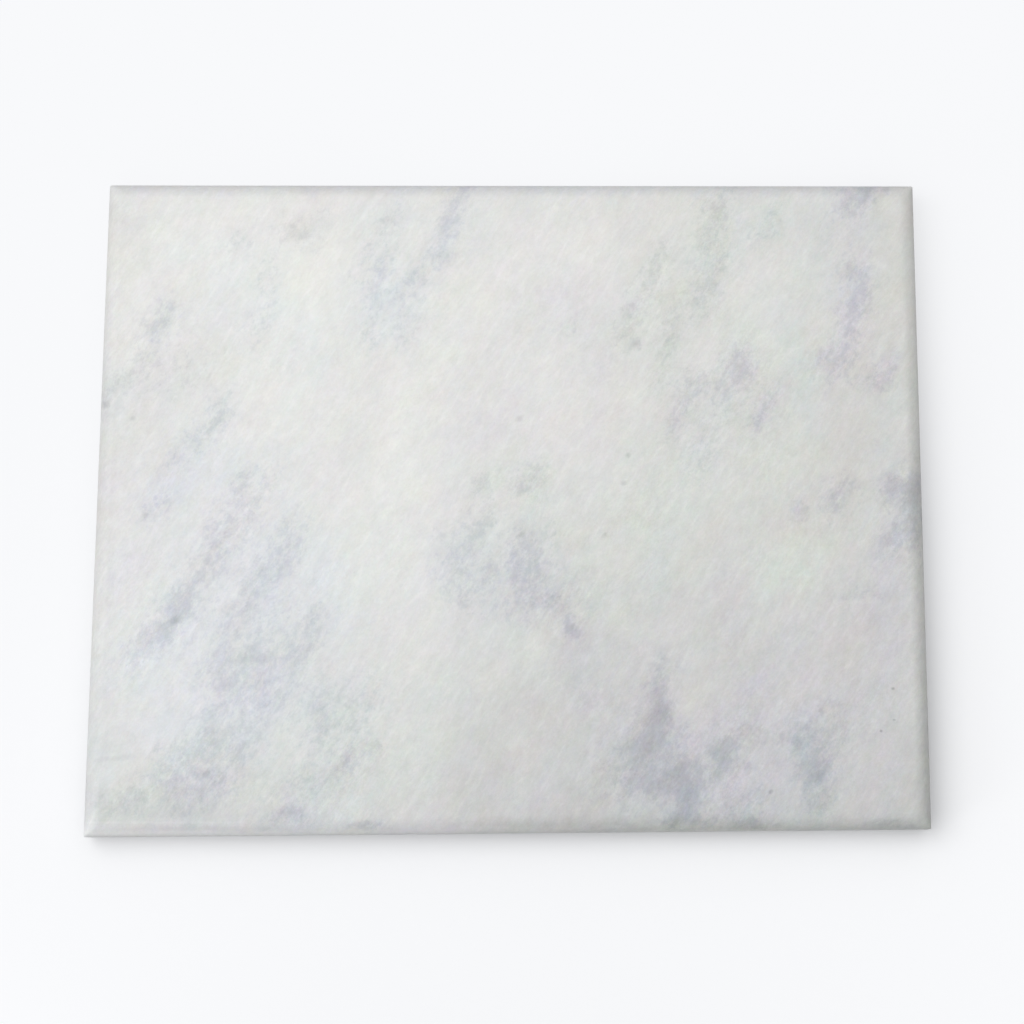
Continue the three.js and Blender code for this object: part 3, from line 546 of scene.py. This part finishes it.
def marbleMaterial():
    material, tree, shader = newMaterial("honedMarble")
    metres = addNode(tree, "ShaderNodeTexCoord", {}).outputs["Object"]
    point = mapNode(tree, metres, size=(mm, mm, mm))  # millimetres from here on

    def marks(kind):
        turn, size, settings = stone["marks"][kind]
        return noiseNode(tree, mapNode(tree, point, turn, size), *settings).outputs

    grain = marks("grain")["Color"]
    fleck = marks("fleck")["Fac"]
    wisp = marks("wisp")["Fac"]
    streak = marks("streak")["Fac"]
    saw = marks("saw")["Fac"]
    height = addNode(tree, "ShaderNodeSeparateXYZ", {"Vector": point}).outputs["Z"]
    sawn = slabLow[2] / mm
    below = rampNode(tree, height, sawn, sawn + stone["sawnSkin"], 1.0, 0.0)  # one on the sawn underside
    veins = addNode(tree, "ShaderNodeAttribute", {}, attribute_name="veins", attribute_type="GEOMETRY")
    shares = addNode(tree, "ShaderNodeSeparateColor", {"Color": veins.outputs["Color"]}).outputs
    drift = addNode(tree, "ShaderNodeAttribute", {}, attribute_name="drift", attribute_type="GEOMETRY")

    # each wash is part even and part dust, which thins out towards the wash's rim
    def dusted(share, even):
        dust = mathNode(tree, "MULTIPLY_ADD", share, stone["dustGain"], fleck)
        dust = rampNode(tree, dust, *stone["dust"])
        thinning = rampNode(tree, share, 0.0, stone["dustRim"], 0.0, 1 - even)
        dust = mathNode(tree, "MULTIPLY", dust, thinning)
        return mathNode(tree, "MULTIPLY_ADD", share, even, dust)

    colour = stone["white"]
    washes = {"haze": veins.outputs["Alpha"], "green": shares[2], "violet": shares[1], "slate": shares[0]}
    for tint, share in washes.items():
        colour = mixColour(tree, dusted(share, stone["even"][tint]), colour, stone[tint], "MULTIPLY")

    # light and dark, violet and green, blue and yellow: the slow drifts and the fine grain, as small changes
    # of red, green and blue
    fine = vectorNode(tree, "SUBTRACT", grain, (0.5, 0.5, 0.5))
    fine = vectorNode(tree, "MULTIPLY", fine, stone["grain"])
    cloudy = vectorNode(tree, "DOT_PRODUCT", veins.outputs["Vector"], stone["cloudWeights"])
    coarse = rampNode(tree, cloudy, 0.0, 1.0, *stone["coarse"])
    fine = vectorNode(tree, "SCALE", fine, coarse)
    slow = vectorNode(tree, "MULTIPLY", drift.outputs["Vector"], stone["drift"])
    swing = addNode(tree, "ShaderNodeSeparateXYZ", {"Vector": vectorNode(tree, "ADD", fine, slow)}).outputs
    # the drift's fourth channel is the tone, which holds painted light and shade: the slope of light and the
    # edge stretches
    light = mathNode(tree, "ADD", swing["X"], drift.outputs["Alpha"])
    shortStrokes = rampNode(tree, wisp, *stone["strokes"], 0.0, stone["wisp"])
    light = mathNode(tree, "MULTIPLY_ADD", shortStrokes, coarse, light)
    longStrokes = rampNode(tree, streak, *stone["strokes"], 0.0, stone["streak"])
    light = mathNode(tree, "ADD", longStrokes, light)
    light = mathNode(tree, "MULTIPLY_ADD", ellipseNodes(tree, point, paleSeams), stone["seam"], light)
    light = mathNode(tree, "MULTIPLY_ADD", ellipseNodes(tree, point, darkSpecks), -stone["speck"], light)
    light = mathNode(tree, "MULTIPLY_ADD", mathNode(tree, "MULTIPLY", saw, below), stone["saw"], light)
    gain = [mathNode(tree, "MULTIPLY_ADD", swing["Y"], v, light) for v in stone["violetGain"]]
    gain = [mathNode(tree, "MULTIPLY_ADD", swing["Z"], b, g) for b, g in zip(stone["blueGain"], gain)]
    gain = addNode(tree, "ShaderNodeCombineXYZ", dict(enumerate(gain))).outputs[0]
    tree.links.new(vectorNode(tree, "MULTIPLY", colour, gain), shader.inputs["Base Color"])

    relief = addNode(tree, "ShaderNodeBump", {"Height": fleck, "Distance": stone["relief"], "Strength": 1.0})
    tree.links.new(relief.outputs[0], shader.inputs["Normal"])
    rough = rampNode(tree, fleck, *stone["fleckRange"], *stone["rough"])
    rough = mathNode(tree, "MULTIPLY_ADD", below, stone["sawnRough"], rough)
    tree.links.new(rough, shader.inputs["Roughness"])
    shader.inputs["Specular IOR Level"].default_value = stone["specular"]
    return material


# the slab's shape

slab = {
    "shy": (1.2 * mm, 1.6 * mm),  # how far the hand-cut stone stays inside the true rectangle, in x and in y
    "shear": 0.93 * mm,  # the back edge sits this far to the right and the front edge as far to the left
    "frontTwist": 1.6 * mm,  # the front edge runs out by this much, forward at its left end
    "round": 7.5 * mm,
    "ease": 1.0 * mm,
    "cornerEase": 0.5 * mm,
    "cornerSoft": 3.0 * mm,  # how far the mitres are rounded a third of the way down the roundover
    "arris": 3.0,  # degrees at which the roundover leaves the flat top
    "sharpArris": 11.0,  # the same near the front left corner
    "sharpFrom": -120 * mm,
    "sharpFade": 20 * mm,
    "step": 2.25 * mm,
    "closeSteps": (0.25, 0.5, 0.75, 1.0, 1.5, 2.2, 3.2, 4.6, 6.6),  # millimetres from a corner
    "roundSteps": 16,
    "wallSteps": 4,
    "easeSteps": 4,
}


def spacedAlong(length):  # from -1 to 1 across a length, with close steps at both ends
    near = 1 - 2 * mm * np.array((0,) + slab["closeSteps"]) / length
    count = int(length / slab["step"])
    middle = np.linspace(-near[-1], near[-1], count)
    return np.concatenate([-near[:-1], middle, near[-2::-1]])


# A flat grid on top, a rounded profile carried round the outline, and a flat grid below, sharing their rims.
# At inset d the outline is the rectangle less d all round, so the roundovers meet in mitres; near a corner
# the outline follows a small arc. The roundover is an arc that starts at the arris angle a and ends upright:
# d = R (1 - sin t), drop = R (cos a - cos t), with R = round / (1 - sin a).
def slabSurface(low, high):
    width = high[0] - low[0] - 2 * slab["shy"][0]
    depth = high[1] - low[1] - 2 * slab["shy"][1]
    across, up = spacedAlong(width), spacedAlong(depth)
    nx, ny = len(across), len(up)
    gridX, gridY = np.meshgrid(across, up)
    index = np.arange(nx * ny).reshape(ny, nx)
    rim = np.concatenate([index[0, :-1], index[:-1, -1], index[-1, :0:-1], index[:0:-1, 0]])
    px, py = gridX.ravel()[rim], gridY.ravel()[rim]
    frontOrBack = np.isclose(np.abs(py), 1)

    sharp = np.clip((slab["sharpFrom"] - px * width / 2) / slab["sharpFade"], 0, 1) * np.isclose(py, -1)
    sharp = sharp * np.clip((1 + px) * width / 2 / slab["sharpFade"], 0, 1)
    arris = np.radians(slab["arris"] + (slab["sharpArris"] - slab["arris"]) * sharp)
    radius = slab["round"] / (1 - np.sin(arris))

    def outline(inset, ease):
        hx, hy = width / 2 - inset, depth / 2 - inset
        away = np.where(frontOrBack, hx * (1 - np.abs(px)), hy * (1 - np.abs(py)))
        bend = np.pi / 4 * (1 + np.clip(away / ease, 0, 1))
        close = away < ease
        p = np.where(close, ease - ease * np.cos(bend), away)
        q = np.where(close, ease - ease * np.sin(bend), 0)
        x = np.sign(px) * np.where(frontOrBack, hx - p, hx - q)
        y = np.sign(py) * np.where(frontOrBack, hy - q, hy - p)
        return x, y

    rings = []
    peak = 27 / 4  # one over the largest value of s (1 - s)^2
    for share in np.linspace(0, 1, slab["roundSteps"] + 1)[1:]:
        turn = arris + (np.pi / 2 - arris) * share
        inset = radius * (1 - np.sin(turn))
        drop = radius * (np.cos(arris) - np.cos(turn))
        ease = slab["cornerEase"] * share + slab["cornerSoft"] * peak * share * (1 - share) ** 2
        rings.append((*outline(inset, ease), high[2] - drop))
    wallTop = rings[-1][2]
    wallEnd = low[2] + slab["ease"]
    for share in np.linspace(0, 1, slab["wallSteps"] + 1)[1:]:
        rings.append((*outline(0 * px, slab["cornerEase"]), wallTop + (wallEnd - wallTop) * share))
    for share in np.linspace(0, 1, slab["easeSteps"] + 1)[1:-1]:
        turn = share * np.pi / 2
        inset = slab["ease"] * (1 - np.cos(turn)) + 0 * px
        height = wallEnd - slab["ease"] * np.sin(turn) + 0 * px
        rings.append((*outline(inset, slab["cornerEase"] * (1 - share)), height))

    topX, topY = gridX * (width / 2 - slab["round"]), gridY * (depth / 2 - slab["round"])
    lowX, lowY = gridX * (width / 2 - slab["ease"]), gridY * (depth / 2 - slab["ease"])
    top = np.stack([topX, topY, np.full_like(topX, high[2])], -1).reshape(-1, 3)
    bottom = np.stack([lowX, lowY, np.full_like(lowX, low[2])], -1).reshape(-1, 3)
    ringPoints = np.stack([np.stack(ring, -1) for ring in rings]).reshape(-1, 3)
    points = np.concatenate([top, ringPoints, bottom])

    # hand-cut: the outline is a little out of square
    u, v = points[:, 0] / (width / 2), points[:, 1] / (depth / 2)
    points[:, 0] += slab["shear"] * v
    points[:, 1] += slab["frontTwist"] * u * (1 - v) / 2

    ringStart = nx * ny
    bottomStart = ringStart + len(ringPoints)
    ringLoops = np.arange(ringStart, bottomStart).reshape(len(rings), len(rim))
    loops = np.concatenate([rim[None], ringLoops, bottomStart + rim[None]])
    nextLoops = np.roll(loops, -1, axis=1)
    sides = np.stack([loops[:-1], loops[1:], nextLoops[1:], nextLoops[:-1]], -1).reshape(-1, 4)
    cell = np.stack([index[:-1, :-1], index[:-1, 1:], index[1:, 1:], index[1:, :-1]], -1).reshape(-1, 4)
    return points, np.concatenate([cell, sides, bottomStart + cell[:, ::-1]])


slabLow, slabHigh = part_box("marble_slab")
slabPoints, slabQuads = slabSurface(slabLow, slabHigh)
marble = marbleMaterial()
marbleSlab = meshObject("marbleSlab", slabPoints, slabQuads, marble, "marble_slab")
for name, field in zip(("veins", "drift"), stoneFields(slabPoints)):
    layer = marbleSlab.data.attributes.new(name, "FLOAT_COLOR", "POINT")
    layer.data.foreach_set("color", field.ravel().astype(np.float32))
print("slab made:", len(slabPoints), "points")


# the rubber feet and the adhesive discs that hold them

feet = {
    "corners": ("front_left", "front_right", "back_left", "back_right"),
    "taper": 0.5 * mm,  # radius lost on the way down
    "rim": 1.0 * mm,  # rounding of the lower rim
    "lip": 0.3 * mm,  # rounding of the upper rim
    "squeeze": 0.2 * mm,  # rounding of the discs' rims
    "flat": 0.4 * mm,  # flat ring inside each rounded rim
    "turnSteps": 72,
    "arcSteps": 6,
    "rubber": {"dark": (0.020, 0.020, 0.021, 1), "light": (0.036, 0.036, 0.038, 1), "rough": (0.62, 0.86)},
    "adhesive": {"dark": (0.56, 0.54, 0.48, 1), "light": (0.68, 0.66, 0.60, 1), "rough": (0.45, 0.65)},
    "grainSize": 0.7 * mm,
    "grainNoise": (3, 0.6),  # detail and roughness
    "grainRange": (0.3, 0.7),  # noise at which a grain begins, and at which it is full
    "relief": 0.02 * mm,
}


def grainGroup():  # fine grain shared by the rubber and the adhesive
    group = bpy.data.node_groups.new("surfaceGrain", "ShaderNodeTree")
    group.interface.new_socket("Point", in_out="INPUT", socket_type="NodeSocketVector")
    group.interface.new_socket("Scale", in_out="INPUT", socket_type="NodeSocketFloat")
    group.interface.new_socket("Grain", in_out="OUTPUT", socket_type="NodeSocketFloat")
    entry = group.nodes.new("NodeGroupInput").outputs
    leave = group.nodes.new("NodeGroupOutput").inputs
    fine = noiseNode(group, entry["Point"], entry["Scale"], *feet["grainNoise"]).outputs["Fac"]
    group.links.new(rampNode(group, fine, *feet["grainRange"]), leave["Grain"])
    return group


def grainyMaterial(name, finish, group):
    material, tree, shader = newMaterial(name)
    metres = addNode(tree, "ShaderNodeTexCoord", {}).outputs["Object"]
    inputs = {"Point": metres, "Scale": 1 / feet["grainSize"]}
    grain = addNode(tree, "ShaderNodeGroup", inputs, node_tree=group).outputs["Grain"]
    tree.links.new(mixColour(tree, grain, finish["dark"], finish["light"]), shader.inputs["Base Color"])
    tree.links.new(rampNode(tree, grain, 0.0, 1.0, *finish["rough"]), shader.inputs["Roughness"])
    relief = addNode(tree, "ShaderNodeBump", {"Height": grain, "Distance": feet["relief"], "Strength": 1.0})
    tree.links.new(relief.outputs[0], shader.inputs["Normal"])
    return material


def arcPoints(x, z, radius, start, end):  # points on an arc, between two angles in degrees
    turn = np.radians(np.linspace(start, end, feet["arcSteps"] + 1))
    return np.stack([x + radius * np.cos(turn), z + radius * np.sin(turn)], -1)


# A profile of radius and height carried round an upright axis, closed by a flat face at each end
def latheSurface(profile, x, y):
    turn = np.linspace(0, 2 * np.pi, feet["turnSteps"], endpoint=False)
    radius, height = profile[:, :1], profile[:, 1:]
    points = [x + radius * np.cos(turn), y + radius * np.sin(turn), height + 0 * turn]
    points = np.stack(points, -1).reshape(-1, 3)
    index = np.arange(len(points)).reshape(len(profile), -1)
    beside = np.roll(index, -1, axis=1)
    sides = np.stack([index[:-1], beside[:-1], beside[1:], index[1:]], -1).reshape(-1, 4)
    return points, sides.tolist() + [index[0, ::-1].tolist(), index[-1].tolist()]


def turnedPiece(name, node, taper, lowRound, highRound, material, slot):
    low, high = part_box(node)
    radius = (high[0] - low[0]) / 2
    lowArc = arcPoints(radius - taper - lowRound, low[2] + lowRound, lowRound, -90, 0)
    highArc = arcPoints(radius - highRound, high[2] - highRound, highRound, 0, 90)
    inside = np.array([[feet["flat"], 0]])
    profile = np.concatenate([lowArc[:1] - inside, lowArc, highArc, highArc[-1:] - inside])
    points, faces = latheSurface(profile, (low[0] + high[0]) / 2, (low[1] + high[1]) / 2)
    meshObject(name, points, faces, material, node)


grain = grainGroup()
rubber = grainyMaterial("mouldedRubber", feet["rubber"], grain)
adhesive = grainyMaterial("foamAdhesive", feet["adhesive"], grain)
footRounds = (feet["taper"], feet["rim"], feet["lip"])
discRounds = (0, feet["squeeze"], feet["squeeze"])
for corner in feet["corners"]:
    name = corner.title().replace("_", "")
    turnedPiece("foot" + name, "foot_" + corner, *footRounds, rubber, "rubber")
    turnedPiece("adhesive" + name, "adhesive_" + corner, *discRounds, adhesive, "adhesive")
print("feet made")


# plain pale floor and soft studio light

studio = {
    "floorSize": 12.0,
    "backdrop": (0.939, 0.947, 0.965, 1),
    "bounce": (0.28, 0.28, 0.28, 1),  # the floor as the board's sides see it
    "open": (0.886, -0.292, -0.048, 0.385),  # light on the open floor, and its change with x, y and xy
    "openReach": 0.35,  # how far from the middle that change goes on
    "shade": (0.1, 1.0, 0.19),  # share of a shadow shown on the lit and the far side, half the span between
    "shadeTurn": -70.0,  # which way the far side lies
    "shadeReach": (0.3, 0.6),  # where shadows fade out
    "under": 5 * mm,  # the floor below the board lets light up, but for this much at the board's rim
    "skyUnder": 0.35,  # light from below the horizon, and how far down it begins and is full
    "skyEdge": (-0.3, -0.1),
    "sky": 0.25,
    "skyRise": (-0.2, 0.0, 0.6),  # how the sky brightens towards x, y and z
    "key": {"place": (-0.6, 0.15, 1.1), "aim": (0, 0, 0.02), "size": 1.0, "watts": 4.3},
    "fill": {"place": (-0.45, -0.42, 0.26), "aim": (-0.15, -0.12, 0.02), "size": 0.25, "watts": 0.35},
}


def floorMaterial():
    material = bpy.data.materials.new("paleFloor")
    material.use_nodes = True
    tree = material.node_tree
    tree.nodes.clear()
    out = tree.nodes.new("ShaderNodeOutputMaterial")
    path = addNode(tree, "ShaderNodeLightPath", {})
    seen = mathNode(tree, "MAXIMUM", path.outputs["Is Camera Ray"], path.outputs["Is Glossy Ray"])
    seen = mathNode(tree, "MAXIMUM", seen, path.outputs["Is Transmission Ray"])
    metres = addNode(tree, "ShaderNodeTexCoord", {}).outputs["Object"]
    middle, perX, perY, perXY = studio["open"]
    reach = studio["openReach"]
    near = vectorNode(tree, "MINIMUM", vectorNode(tree, "MAXIMUM", metres, (-reach,) * 3), (reach,) * 3)
    parts = addNode(tree, "ShaderNodeSeparateXYZ", {"Vector": near}).outputs
    both = mathNode(tree, "MULTIPLY_ADD", mathNode(tree, "MULTIPLY", parts["X"], parts["Y"]), perXY, middle)
    openLight = mathNode(tree, "ADD", vectorNode(tree, "DOT_PRODUCT", near, (perX, perY, 0)), both)
    turn = math.radians(studio["shadeTurn"])
    far = vectorNode(tree, "DOT_PRODUCT", metres, (math.cos(turn), math.sin(turn), 0))
    low, high, span = studio["shade"]
    shade = rampNode(tree, far, -span, span, low, high)
    distance = vectorNode(tree, "LENGTH", metres)
    shade = mathNode(tree, "MULTIPLY", shade, rampNode(tree, distance, *studio["shadeReach"], 1.0, 0.0))
    painted = mathNode(tree, "DIVIDE", shade, openLight)
    painted = vectorNode(tree, "SCALE", studio["backdrop"][:3], painted)
    painted = mixColour(tree, seen, studio["bounce"], painted)
    glow = mathNode(tree, "MULTIPLY", seen, mathNode(tree, "SUBTRACT", 1.0, shade))
    paint = addNode(tree, "ShaderNodeBsdfDiffuse", {"Color": painted})
    light = addNode(tree, "ShaderNodeEmission", {"Color": studio["backdrop"], "Strength": glow})
    both = addNode(tree, "ShaderNodeAddShader", {0: paint.outputs[0], 1: light.outputs[0]})

    # open to a camera below it, and to the light that reaches the underside of the board
    rimStart = slabHigh - Vector([studio["under"]] * 3)
    apart = vectorNode(tree, "SUBTRACT", vectorNode(tree, "ABSOLUTE", metres), rimStart)
    apart = addNode(tree, "ShaderNodeSeparateXYZ", {"Vector": apart}).outputs
    beneath = mathNode(tree, "LESS_THAN", mathNode(tree, "MAXIMUM", apart["X"], apart["Y"]), 0.0)
    beneath = mathNode(tree, "SUBTRACT", beneath, path.outputs["Is Camera Ray"], clamp=True)
    back = addNode(tree, "ShaderNodeNewGeometry", {}).outputs["Backfacing"]
    opening = mathNode(tree, "MAXIMUM", back, beneath)
    clear = tree.nodes.new("ShaderNodeBsdfTransparent")
    shown = addNode(tree, "ShaderNodeMixShader", {0: opening, 1: both.outputs[0], 2: clear.outputs[0]})
    tree.links.new(shown.outputs[0], out.inputs["Surface"])
    return material


half = studio["floorSize"] / 2
floorCorners = [(-half, -half, 0), (half, -half, 0), (half, half, 0), (-half, half, 0)]
floorMesh = bpy.data.meshes.new("floor")
floorMesh.from_pydata(floorCorners, [], [(0, 1, 2, 3)])
floorMesh.materials.append(floorMaterial())
floor = bpy.data.objects.new("floor", floorMesh)
scene.collection.objects.link(floor)

world = bpy.data.worlds.new("studioSky")
world.use_nodes = True
scene.world = world
sky = world.node_tree
skyPath = addNode(sky, "ShaderNodeLightPath", {})
skyShade = sky.nodes["Background"]
skySeen = mathNode(sky, "MAXIMUM", skyPath.outputs["Is Camera Ray"], skyPath.outputs["Is Transmission Ray"])
skyWay = addNode(sky, "ShaderNodeTexCoord", {}).outputs["Generated"]
skyLight = mathNode(sky, "ADD", vectorNode(sky, "DOT_PRODUCT", skyWay, studio["skyRise"]), studio["sky"])
skyHeight = addNode(sky, "ShaderNodeSeparateXYZ", {"Vector": skyWay}).outputs["Z"]
skyLow = rampNode(sky, skyHeight, *studio["skyEdge"], studio["skyUnder"], 0.0)
skyLight = mathNode(sky, "MAXIMUM", skyLight, skyLow)
skyColour = mixColour(sky, skySeen, skyLight, studio["backdrop"])
sky.links.new(skyColour, skyShade.inputs["Color"])


def addLamp(name):
    lamp = studio[name]
    data = bpy.data.lights.new(name, "AREA")
    data.shape = "DISK"
    data.size = lamp["size"]
    data.energy = lamp["watts"]
    made = bpy.data.objects.new(name, data)
    made.location = lamp["place"]
    x, y, z = np.array(lamp["aim"]) - np.array(lamp["place"])
    made.rotation_euler = (math.atan2(math.hypot(x, y), -z), 0, math.atan2(y, x) - math.pi / 2)
    scene.collection.objects.link(made)


addLamp("key")
addLamp("fill")

scene.view_settings.view_transform = "Standard"
print("studio lit")
